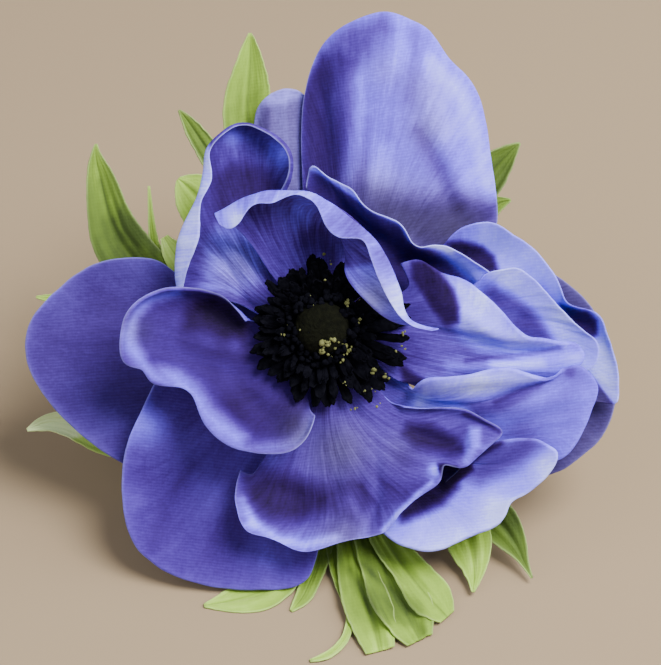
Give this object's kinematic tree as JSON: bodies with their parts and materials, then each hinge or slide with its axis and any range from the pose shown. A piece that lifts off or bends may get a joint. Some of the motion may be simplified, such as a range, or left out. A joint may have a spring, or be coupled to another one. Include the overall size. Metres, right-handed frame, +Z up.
{
  "type": "anemone flower",
  "caption": "Cut double anemone bloom with curling violet-blue petals, a dark stamen fringe round a domed centre, lobed green bracts and a curved stem, lying on a surface",
  "frame": {"origin": "middle of the flower's footprint, on the surface it lies on", "axes": "+Z up; the stem's cut end points along +Y and the face of the bloom looks towards -Y, turned 42 degrees up; +X is to the right seen from the front"},
  "size_m": [0.0906, 0.1424, 0.065],
  "materials": {
    "petal": "matt, finely woven, streaked violet-blue with pale rims",
    "stamens": "matt near-black",
    "centre": "matt, granular, with olive pollen crumbs",
    "leaf": "matt yellow-green, softly folded",
    "stem": "satin green"
  },
  "bodies": {
    "root": {"petal_top": "petal", "petal_back_left": "petal", "petal_upper_left": "petal", "petal_left": "petal", "petal_lower_left": "petal", "petal_inner_left": "petal", "petal_inner_top": "petal", "petal_upper_right": "petal", "petal_right_back": "petal", "petal_right_outer": "petal", "petal_right_mid": "petal", "petal_right_inner": "petal", "petal_lower_right": "petal", "petal_bottom_right": "petal", "petal_bottom_inner": "petal", "stamens_outer": "stamens", "stamens_middle": "stamens", "stamens_inner": "stamens", "centre": "centre", "bract_left": "leaf", "bract_front": "leaf", "bract_right": "leaf", "stem": "stem"}
  },
  "joints": []
}
